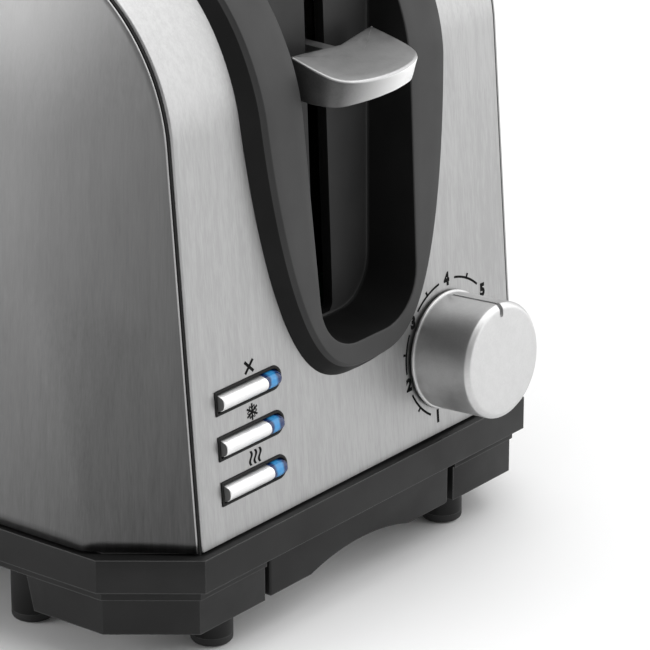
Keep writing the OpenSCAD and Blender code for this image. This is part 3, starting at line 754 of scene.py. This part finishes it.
# rounding of the face's outer edge and of the pocket's mouth, fillet at the back, draft of the walls
FACE_EDGE, LIP_EDGE, FILLET, DRAFT = 0.4, 0.35, 1.0, 0.9


def pocket_back(z):
    """x of the pocket's back wall, which stands straighter than the panel."""
    return BACK_X - (z - BACK_Z) * BACK_LEAN


def spread(corners, extra):
    """Angles all round and at corners, closer together where extra says (angle, half range, steps)."""
    angles = [2 * pi * k / TRIM_STEPS for k in range(TRIM_STEPS)]
    for middle, reach, steps in extra:
        angles += [radians(middle + reach * (2 * k / steps - 1)) for k in range(steps + 1)]
    return sorted(set(a % (2 * pi) for a in angles + corners))


def lever_bezel():
    """Raised trim, the lever's pocket in it, and the slit that the lever's arm comes out of."""
    centre = (0.0, path_at(POCKET_MID))
    foot_loop = egg_loop(EGG_OUTER)
    y, s = foot_loop[0]
    corners = [atan2(s - centre[1], side) for side in (y, -y)]
    angles = spread(corners, [(270, 9, 24), (90, 9, 24)])
    outer = by_angle(foot_loop, centre, angles)
    face_line = by_angle(egg_loop(EGG_FACE), centre, angles)
    mouth = by_angle(pocket_in_s(), centre, angles)
    rows, kinds = [], []

    def ring(points, kind):
        rows.append(points)
        kinds.append(kind)

    for share in (0.0, 0.5, 0.8):
        ring([on_arch(p.lerp(q, share).y, p.lerp(q, share).x,
                      0.04 if share == 0 else share * (trim_height(q.y) - FACE_EDGE))
              for p, q in zip(outer, face_line)], "wall")
    for along, down in quarter(4, 15):
        edge = inset(face_line, FACE_EDGE * along)
        ring([on_arch(p.y, p.x, trim_height(p.y) - FACE_EDGE * down) for p in edge], "face")
    outer_face = inset(face_line, FACE_EDGE)
    inner_face = inset(mouth, -LIP_EDGE)
    for f in (0.25, 0.5, 0.75):
        ring([on_arch(p.lerp(q, f).y, p.lerp(q, f).x, trim_height(p.lerp(q, f).y))
              for p, q in zip(outer_face, inner_face)], "face")
    for down, along in quarter(4):
        edge = inset(mouth, -LIP_EDGE * along)
        ring([on_arch(p.y, p.x, trim_height(p.y) - LIP_EDGE * down) for p in edge], "face")
    # from here on the walls run straight back, along x, with a little draft
    lip = [Vector((p.x / MM - MID_X, p.y / MM, p.z / MM)) for p in rows[-1]]
    foot = inset([Vector((p.y, p.z)) for p in lip], DRAFT)
    for f in (0.06, 0.35, 0.7, 1.0):
        points = []
        for p, q in zip(lip, foot):
            end = min(p.x - 0.1, pocket_back(q.y) + FILLET)
            points.append(P(p.x + (end - p.x) * f, p.y + (q.x - p.y) * f, p.z + (q.y - p.z) * f))
        ring(points, "wall")
    for k, (along, down) in enumerate(quarter(5)[1:]):
        edge = inset(foot, FILLET * along)
        ring([P(min(p.x - 0.12, pocket_back(q.y) + FILLET * down), q.x, q.y)
              for p, q in zip(lip, edge)], "wall" if k < 3 else "back")
    slit_loop = rounded_box((SLIT_LOW + SLIT_HIGH) / 2, 2 * SLIT_HALF, SLIT_HIGH - SLIT_LOW,
                            SLIT_HALF - 0.2)
    middle = (0.0, POCKET_MID)
    floor = inset(foot, FILLET)
    seen = [atan2(q.y - middle[1], q.x) % (2 * pi) for q in floor]
    slit = by_angle(slit_loop, middle, seen)
    for f in (0.3, 0.6, 0.85, 1.0):
        points = [p.lerp(q, f) for p, q in zip(floor, slit)]
        ring([P(pocket_back(p.y), p.x, p.y) for p in points], "back")
    for depth in (0.3, 3.0):
        ring([P(pocket_back(q.y) - depth, q.x * 0.97, q.y) for q in slit], "slit")
    bm = bmesh.new()
    grid(bm, rows, close_columns=True)
    # material index of the faces that lead up to each kind of ring: the walls and the slit take the darkest
    # copy of the trim plastic and the back a darker one, both painted shade
    order = {"face": 0, "wall": 1, "back": 2, "slit": 1}
    count = len(angles)
    for k, face in enumerate(bm.faces):
        face.material_index = order[kinds[k // count + 1]]
    weld(bm)
    new_object("lever_bezel", bm, "housing", "trim_plastic", ["lever_bezel"], 38,
               ["trim_plastic", "trim_wall_painted_shade", "pocket_back"])


lever_bezel()


# ---- top deck ----


def deck_height(x):
    """Height of the black deck's face at x."""
    over = max(0.0, abs(x) - ARC_X)
    r = ARC_R + TRIM_PROUD
    return COVER_TOP + TRIM_PROUD - TRIM_DROP - (r - sqrt(r * r - over * over))


def cover_height(x):
    """Height of the steel cover's face at x."""
    over = max(0.0, abs(x) - ARC_X)
    return ARC_Z + sqrt(ARC_R * ARC_R - over * over)


SLOT_L, SLOT_W, SLOT_Y, SLOT_CORNER, SLOT_EDGE = 140.0, 27.0, 22.5, 5, 1.4
DECK_HALF, DECK_REAR, DECK_CORNER, DECK_EDGE = 40.0, -94, 26, 1.0
DECK_FRONT = DECK_SEAM - 0.25
# heights half way down the slot's wall, at its foot and up its hidden side, SLOT_SHEET away
SLOT_WALL, SLOT_LOW, SLOT_INNER, SLOT_SHEET = 188.0, 183.7, 190.0, 1.7


def deck_outline():
    """Plan outline of the deck's half with positive y, from the front of its middle line."""
    turn = DECK_REAR + DECK_CORNER
    straight = DECK_HALF - DECK_CORNER
    outline = [(DECK_FRONT, DECK_HALF * k / 8) for k in range(9)]
    outline += [(DECK_SEAM - (DECK_SEAM - turn) * k / 24, DECK_HALF) for k in range(1, 25)]
    outline += corner((turn, straight), DECK_CORNER, 90, 180, 20)[1:]
    outline += [(DECK_REAR, straight - straight * k / 4) for k in range(1, 5)]
    return outline + [(DECK_REAR + (DECK_SEAM - DECK_REAR) * k / 30, 0.0) for k in range(1, 30)]


def top_deck():
    """Black deck in two halves that meet on the middle line, with a round-edged slot in each."""
    bm = bmesh.new()
    outline = deck_outline()
    slot_loop = rounded_box(SLOT_Y, SLOT_L, SLOT_W, SLOT_CORNER)
    angles = sorted(set(atan2(y - SLOT_Y, x) % (2 * pi) for x, y in outline + slot_loop))
    keep = [angles[0]]
    for a in angles[1:]:
        if a - keep[-1] > 0.002:
            keep.append(a)
    out = by_angle(outline, (0.0, SLOT_Y), keep)
    slot = by_angle(slot_loop, (0.0, SLOT_Y), keep)

    def outer_inset(d):
        # both halves share the line down the middle, so it stays where it is
        moved = inset(out, d)
        for k, p in enumerate(out):
            if p.y < 0.01:
                moved[k] = Vector((min(max(moved[k].x, DECK_REAR + d), DECK_FRONT - d), 0.0))
        return moved

    for sign in (-1, 1):
        rows = []

        def put(loop, height):
            rows.append([P(p.x, sign * p.y, height(p.x)) for p in loop])

        put(out, lambda x: cover_height(x) + 0.04)
        for along, down in quarter(4):
            edge = outer_inset(DECK_EDGE * along)
            drop = DECK_EDGE * down
            # the middle line stays level, except near its ends
            level = [q.y < 0.01 and DECK_REAR + 4 < p.x < DECK_SEAM - 3 for p, q in zip(edge, out)]
            rows.append([P(p.x, sign * p.y, deck_height(p.x) - (0 if f else drop))
                         for p, f in zip(edge, level)])
        face = outer_inset(DECK_EDGE)
        ring = inset(slot, -SLOT_EDGE)
        for f in (0.33, 0.66):
            put([p.lerp(q, f) for p, q in zip(face, ring)], deck_height)
        for down, along in quarter(5):
            edge = inset(slot, -SLOT_EDGE * along)
            rows.append([P(p.x, sign * p.y, deck_height(p.x) - SLOT_EDGE * down) for p in edge])
        put(slot, lambda x: SLOT_WALL)
        put(slot, lambda x: SLOT_LOW)
        put(inset(slot, -SLOT_SHEET), lambda x: SLOT_LOW)
        put(inset(slot, -SLOT_SHEET), lambda x: SLOT_INNER)
        grid(bm, rows, close_columns=True)
        # the first ring's wall along the middle line is inside the deck
        doomed = [f for f in bm.faces if all(abs(v.co.y) < 1e-6 for v in f.verts)]
        bmesh.ops.delete(bm, geom=doomed, context="FACES")
    weld(bm)
    new_object("top_deck", bm, "housing", "trim_plastic", ["top_deck"], smooth=38)


top_deck()


# ---- lever handle ----

# half of the handle's plan, from the back corner to the middle of the front: (x, half width)
HANDLE_TOP = [(125.9, 16.7), (130.0, 17.0), (134.5, 17.1), (138.5, 16.9), (141.3, 16.1), (143.4, 14.4),
              (144.9, 11.6), (145.8, 8.6), (146.4, 5.6), (146.7, 2.8), (146.8, 0.0)]
HANDLE_FOOT = [(126.2, 17.0), (130.0, 17.4), (134.0, 17.5), (138.0, 17.1), (140.2, 16.1), (141.7, 14.2),
               (142.6, 11.5), (143.2, 8.4), (143.7, 5.2), (143.9, 2.6), (143.9, 0.0)]
HANDLE_LOW, HANDLE_BACK_Z, HANDLE_FRONT_Z = 144.0, 155.3, 150.7
# the handle reaches a little further to the left than to the right
HANDLE_LEFT, HANDLE_RIGHT = 1.05, 0.97
HANDLE_MIDDLE = Vector((136.0, 0.0))
HANDLE_POINT = 2.6


def handle_outline(half):
    """Closed plan outline from half of it, smoothed, with a back edge that bows forward."""
    fine = []
    for k in range(len(half) - 1):
        p = [Vector(half[min(max(k + d, 0), len(half) - 1)]) for d in (-1, 0, 1, 2)]
        for f in (0, 0.25, 0.5, 0.75):
            fine.append(0.5 * (2 * p[1] + (p[2] - p[0]) * f + (2 * p[0] - 5 * p[1] + 4 * p[2] - p[3]) * f * f
                               + (3 * p[1] - p[0] - 3 * p[2] + p[3]) * f ** 3))
    fine.append(Vector(half[-1]))
    back_x, back_y = half[0]
    across = [back_y * (1 - 2 * k / 16) for k in range(1, 16)]
    # the back is drawn in to a soft point where the arm joins it
    back = [Vector((back_x + HANDLE_POINT * (1 - abs(y / back_y)) ** 1.15, y)) for y in across]
    left = [Vector((p.x, -p.y * HANDLE_LEFT)) for p in fine]
    right = [Vector((p.x, p.y * HANDLE_RIGHT)) for p in reversed(fine)]
    back = [Vector((p.x, p.y * (HANDLE_LEFT if p.y < 0 else HANDLE_RIGHT))) for p in back]
    return left[:-1] + right + back


def lever_handle():
    """Handle with a falling top, a bowed front that leans out upwards, and narrow rounded edges."""
    foot, top = handle_outline(HANDLE_FOOT), handle_outline(HANDLE_TOP)

    def roof(x):
        back, front = HANDLE_TOP[0][0], HANDLE_TOP[-1][0]
        return HANDLE_BACK_Z + (HANDLE_FRONT_Z - HANDLE_BACK_Z) * (x - back) / (front - back)

    r_low, r_top = 0.5, 0.75
    rows = []
    for up, along in quarter(3):
        edge = inset(foot, r_low * along)
        rows.append([P(p.x, p.y, HANDLE_LOW + r_low * up) for p in edge])
    for f in (0.25, 0.5, 0.75):
        rows.append([P(p.lerp(q, f).x, p.lerp(q, f).y, HANDLE_LOW + (roof(q.x) - r_top - HANDLE_LOW) * f)
                     for p, q in zip(foot, top)])
    for along, down in quarter(5):
        edge = inset(top, r_top * along)
        rows.append([P(p.x, p.y, roof(p.x) - r_top * down) for p in edge])
    rim = inset(top, r_top)
    for f in (0.25, 0.5, 0.75):
        points = [p.lerp(HANDLE_MIDDLE, f) for p in rim]
        rows.append([P(p.x, p.y, roof(p.x)) for p in points])
    bm = bmesh.new()
    verts = grid(bm, rows, close_columns=True)
    bm.faces.new(verts[0])
    centre = bm.verts.new(P(HANDLE_MIDDLE.x, HANDLE_MIDDLE.y, roof(HANDLE_MIDDLE.x)))
    for a, b in zip(verts[-1], verts[-1][1:] + verts[-1][:1]):
        bm.faces.new([a, b, centre])
    obj = new_object("lever_handle", bm, "carriage", "satin_silver", ["lever_handle"], 35,
                     ["handle_top_painted_shade", "handle_front_painted_shading"])
    # faces that don't face up take the front copy, with its painted light and shade across the handle
    for face in obj.data.polygons:
        if face.normal.z < 0.35:
            face.material_index = 1


lever_handle()


# ---- browning knob and its printed dial ----

KNOB_R, KNOB_TIP = 16.3, 19.9
KNOB_FLANGE = 0.45
LINE_HALF, LINE_DEEP = 0.5, 0.35
NOTCH_HALF, NOTCH_IN, NOTCH_DEEP = 0.75, 2.9, 1.9


def knob_place(a, u, v):
    """Point a out of the panel and (u, v) from the knob's axis."""
    return on_panel(a, KNOB_Y + u, KNOB_S + v)


def browning_knob():
    """Knob with a thin flange at its foot, a bevelled face, and a pointer line with a notch."""
    bm = bmesh.new()
    r, tip, flange = KNOB_R, KNOB_TIP, KNOB_R + KNOB_FLANGE
    profile = [(0.7, 0), (0.7, flange - 0.15), (0.85, flange), (1.3, flange), (1.5, flange - 0.15),
               (1.6, r - 0.05), (3.2, r)]
    profile += [(a, r) for a in (5, 8, 11, 14, 17)]
    profile += [(tip - 1.5, r), (tip - 1.2, r - 0.05), (tip - 1.0, r - 0.16), (tip - 0.35, r - 0.82),
                (tip - 0.14, r - 1.1), (tip - 0.03, r - 1.45), (tip, r - 1.9)]
    profile += [(tip, r * share) for share in (0.6, 0.3, 0)]
    lathe(bm, profile, knob_place, 128)
    obj = new_object("browning_knob", bm, "browning_knob", "satin_silver", ["browning_knob"], smooth=30)
    # shallow line along the cylinder, and the notch in the face
    line = [(w, r - LINE_DEEP) for w in (-LINE_HALF, LINE_HALF)] + [(LINE_HALF, r + 2), (-LINE_HALF, r + 2)]
    notch = corner((0, r - NOTCH_IN), NOTCH_HALF, 180, 360, 8) + [(NOTCH_HALF, r + 2), (-NOTCH_HALF, r + 2)]
    cut(obj, tool(line, knob_place, 3.2, tip + 1), tool(notch, knob_place, tip - NOTCH_DEEP, tip + 1))
    shade(obj, 30)


browning_knob()


def panel_text(name, body, size, y, s, squeeze, weight):
    """Printed characters standing 0.03 mm off the panel, as a mesh."""
    curve = bpy.data.curves.new(name, "FONT")
    curve.body, curve.size, curve.align_x, curve.align_y = body, size * MM, "CENTER", "CENTER"
    curve.extrude, curve.offset, curve.resolution_u = 0.00001, weight * MM, 4
    obj = bpy.data.objects.new(name, curve)
    link(obj)
    # text x runs along +y of the panel, text y along its height
    turn = Matrix(((0, 0, 1), (1, 0, 0), (0, 1, 0))).to_4x4()
    origin = on_panel(0.02, y, s)
    obj.matrix_world = Matrix.Translation(origin) @ PANEL @ turn @ Matrix.Diagonal((squeeze, 1, 1, 1))
    mesh = final_mesh(obj)
    mesh.transform(obj.matrix_world)
    bpy.data.objects.remove(obj)
    mesh.materials.clear()
    mesh.materials.append(MATERIALS["ink"])
    out = bpy.data.objects.new(name, mesh)
    link(out)
    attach(out, "housing")


def panel_arc(bm, r, a0, a1, width, steps=16):
    """Printed arc of the dial from angle a0 to a1 in degrees."""
    rows = []
    for o in (0.0, 0.03):
        for rr in ((r - width / 2, r + width / 2) if o else (r + width / 2, r - width / 2)):
            turns = [radians(a0 + (a1 - a0) * k / steps) for k in range(steps + 1)]
            rows.append([on_panel(0.01 + o, DIAL_Y + rr * cos(a), KNOB_S + rr * sin(a)) for a in turns])
    order = [rows[1], rows[2], rows[3], rows[0]]
    verts = grid(bm, order, close_rows=True)
    bm.faces.new([row[0] for row in verts])
    bm.faces.new([row[-1] for row in verts])


DIAL_R = 19.6
DIAL_Y = KNOB_Y + 1.7
DIAL_ANGLES = [249, 196, 143, 90, 37]


def dial():
    """Printed scale round the knob: arcs with a tick between the numbers 1 to 5."""
    bm = bmesh.new()
    for a, b in zip(DIAL_ANGLES, DIAL_ANGLES[1:]):
        panel_arc(bm, DIAL_R, a - 10, b + 10, 0.65)
        mid = (a + b) / 2
        panel_arc(bm, DIAL_R + 0.5, mid - 1.0, mid + 1.0, 1.7, 2)
    new_object("dial_scale", bm, "housing", "seam_black", looks=["ink"])
    for k, a in enumerate(DIAL_ANGLES):
        y = DIAL_Y + DIAL_R * cos(radians(a))
        s = KNOB_S + DIAL_R * sin(radians(a))
        panel_text(f"dial_number_{k + 1}", str(k + 1), 4.8, y, s, 0.88, 0.32)


dial()

# ---- buttons ----

# gap round the rim, the rim's width and the gap round the key
RIM_GAP, RING, KEY_GAP = 0.1, 0.7, 0.3
KEY_BOW, KEY_END = 0.9, 0.5
LENS_ROUND = 1.3
# (outline grown by, height out of the panel) round the rim's section
RIM_SECTION = [(-RIM_GAP, -1.1), (-RIM_GAP, 0.12), (-0.22, 0.3), (-0.5, 0.34),
               (-RING + 0.1, 0.2), (-RING, 0.0), (-RING, -1.1)]
SYMBOL_R, STROKE = 2.35, 0.42


def star(arm, count, start):
    """Outline of count turned copies of arm, the first one at start degrees."""
    points = []
    for k in range(count):
        a = radians(start - 360 * k / count)
        points += [(u * cos(a) - v * sin(a), u * sin(a) + v * cos(a)) for u, v in arm]
    return [points]


def cancel_symbol():
    """Outline of a diagonal cross."""
    return star([(SYMBOL_R, STROKE), (SYMBOL_R, -STROKE), (STROKE, -STROKE)], 4, 45)


def defrost_symbol():
    """Outline of a snowflake with a pair of barbs on each arm."""
    half = STROKE * 0.7
    side = [(0.95, half), (1.55, half + 0.6), (1.9, half + 0.6), (1.4, half), (SYMBOL_R, half)]
    arm = side + [(u, -v) for u, v in reversed(side)] + [(half / tan(radians(30)), -half)]
    return star(arm, 6, 90)


def reheat_symbol():
    """Outlines of three upright waves."""
    waves = []
    for centre in (-1.8, 0.0, 1.8):
        heights = [-SYMBOL_R * 0.85 + SYMBOL_R * 1.7 * k / 16 for k in range(17)]
        bend = [centre + 0.45 * sin(pi * h / SYMBOL_R * 1.2) for h in heights]
        left = [(u - STROKE, h) for u, h in zip(bend, heights)]
        waves.append(left + [(u + STROKE, h) for u, h in reversed(list(zip(bend, heights)))])
    return waves


# from the lowest button up
SYMBOLS = {"reheat": reheat_symbol, "defrost": defrost_symbol, "cancel": cancel_symbol}


def button_symbol(key, y, s):
    """Printed symbol above a button."""
    bm = bmesh.new()
    for outline in SYMBOLS[key]():
        prism(bm, outline, lambda w, u, v: on_panel(w, y + u, s + v), 0.01, 0.04)
    new_object(f"{key}_symbol", bm, "housing", "seam_black", looks=["ink"])


def button_ring(bm, s):
    """Black rim round one button, rounded on top."""
    rows = []
    for grow, o in RIM_SECTION:
        rows.append([on_panel(o, y, z) for y, z in button_outline(s, grow)])
    grid(bm, rows, close_rows=True, close_columns=True)


def key_surface(bm, s, y0, y1, kind):
    """Bar with a convex top from y0 to y1, bowed at y1 if it is a cap, or at y0 if it is a lens."""
    cap = kind == "cap"
    half = BUTTON_H / 2 - RIM_GAP - RING - KEY_GAP
    top, side = (2.3, -0.4) if cap else (2.2, -0.3)
    end_centre = BUTTON_Y + BUTTON_L / 2 - RIM_GAP - RING - KEY_GAP - half
    columns, across = 12, 14
    rows = []
    for j in range(columns + 1):
        row = []
        for v in [(-1.0 + 2.0 * k / across) for k in range(across + 1)]:
            w = half * v
            height = side + (top - side) * sqrt(max(0.0, 1 - abs(v) ** 2.4))
            bow = KEY_BOW * (1 - v * v) - KEY_END
            if cap:
                # columns gather at the left end, which has a narrow rounded edge
                y = y0 + (y1 + bow - y0) * (j / columns) ** 2
                d = min(1, (y - y0) / 0.5)
                height -= 0.35 * (1 - sqrt(1 - (1 - d) ** 2))
            else:
                start = y0 + bow + 0.06
                end = end_centre + sqrt(max(0.0, half * half - w * w))
                y = start + (end - start) * (j / columns)
                d = min(1, (end - y) / LENS_ROUND)
                height = side + (height - side) * sqrt(max(0.0, 1 - (1 - d) ** 2))
            row.append(on_panel(height, y, s + w))
        rows.append(row)
    grid(bm, rows)
    boundary = [e for e in bm.edges if e.is_boundary]
    made = bmesh.ops.extrude_edge_only(bm, edges=boundary)
    down = on_panel(-3.0, 0, 0) - on_panel(0, 0, 0)
    for v in [g for g in made["geom"] if isinstance(g, bmesh.types.BMVert)]:
        v.co += down
    bmesh.ops.holes_fill(bm, edges=[e for e in bm.edges if e.is_boundary])


def buttons():
    """Rims, caps, blue ends and printed symbols of the three buttons."""
    bm = bmesh.new()
    for s in BUTTON_ROWS:
        button_ring(bm, s)
    weld(bm)
    new_object("button_rims", bm, "housing", "seam_black", smooth=50)
    left = BUTTON_Y - BUTTON_L / 2 + RIM_GAP + RING + KEY_GAP
    for s, key in zip(BUTTON_ROWS, SYMBOLS):
        body = f"{key}_button"
        bm = bmesh.new()
        key_surface(bm, s, left, CAP_SPLIT, "cap")
        cap = new_object(f"{key}_cap", bm, body, "satin_silver", [f"{key}_cap"], 50,
                         ["cap_silver", "key_end_painted_shade"])
        # faces turned to -y, at the cap's left end, take the dark grey of painted shade
        for face in cap.data.polygons:
            if face.normal.y < -0.8:
                face.material_index = 1
        bm = bmesh.new()
        key_surface(bm, s, CAP_SPLIT, 0, "lens")
        new_object(f"{key}_lens", bm, body, "blue_lens", [f"{key}_lens"], smooth=50)
        button_symbol(key, BUTTON_Y + 1.0, s + BUTTON_H / 2 + 2.6)


buttons()

# ---- CAD nodes that stay get soft edges ----


def soften(node, width):
    """Rounds the edges of a CAD node that stays, width in millimetres."""
    angle = 35
    obj = NODES[node]
    shade(obj, angle)
    merge = obj.modifiers.new("merge", "WELD")
    merge.merge_threshold = 0.000002
    bevel = obj.modifiers.new("edges", "BEVEL")
    bevel.width, bevel.segments, bevel.limit_method = width * MM, 3, "ANGLE"
    bevel.angle_limit = radians(angle)


for node, width in (("base_plinth", 0.5), ("crumb_tray_front", 0.9), ("foot_posts", 0.4), ("foot_pads", 0.2),
                    ("cord_gland", 0.5), ("crumb_tray_pan", 0.3), ("chassis_top", 0.2)):
    soften(node, width)

# ---- stage, light and camera ----

bm = bmesh.new()
bmesh.ops.create_grid(bm, x_segments=2, y_segments=2, size=6)
floor = mesh_object("floor", bm)
floor.location.z = -0.0002
floor.data.materials.append(matt("floor", 0.92, 0.94, 0.8, 0.2, 4))

world = bpy.data.worlds.new("studio")
scene.world = world
world.use_nodes = True
sky = world.node_tree.nodes["Background"].inputs
sky["Color"].default_value = (1, 1, 1, 1)
sky["Strength"].default_value = 0.42


def area_light(name, place, target, size, power, size_y=None):
    """Soft light in metres and watts, turned towards target and unseen by the camera."""
    light = bpy.data.lights.new(name, "AREA")
    light.shape = "RECTANGLE"
    light.size, light.size_y = size, size_y or size
    light.energy = power
    obj = bpy.data.objects.new(name, light)
    obj.location = place
    obj.rotation_euler = (Vector(target) - Vector(place)).to_track_quat("-Z", "Y").to_euler()
    obj.visible_camera = False
    link(obj)


area_light("key", (1.05, 1.25, 0.75), (0.1, 0, 0.1), 2.4, 30)
area_light("side", (-1.1, -1.45, 0.6), (0, 0, 0.15), 1.3, 14, 0.8)
area_light("top", (0.2, 0.2, 1.7), (0, 0, 0.1), 1.8, 18)

CAMERA_AT = P(751.38, -770.2, 480.3)
CAMERA_DIR = Vector((-0.5849, 0.7175, -0.3784))
camera = bpy.data.cameras.new("camera")
camera.sensor_width, camera.lens = 36, 220.5
camera.clip_start, camera.clip_end = 0.01, 50
view = bpy.data.objects.new("camera", camera)
view.location = CAMERA_AT
view.rotation_euler = CAMERA_DIR.to_track_quat("-Z", "Y").to_euler()
link(view)
scene.camera = view
scene.view_settings.view_transform = "Standard"
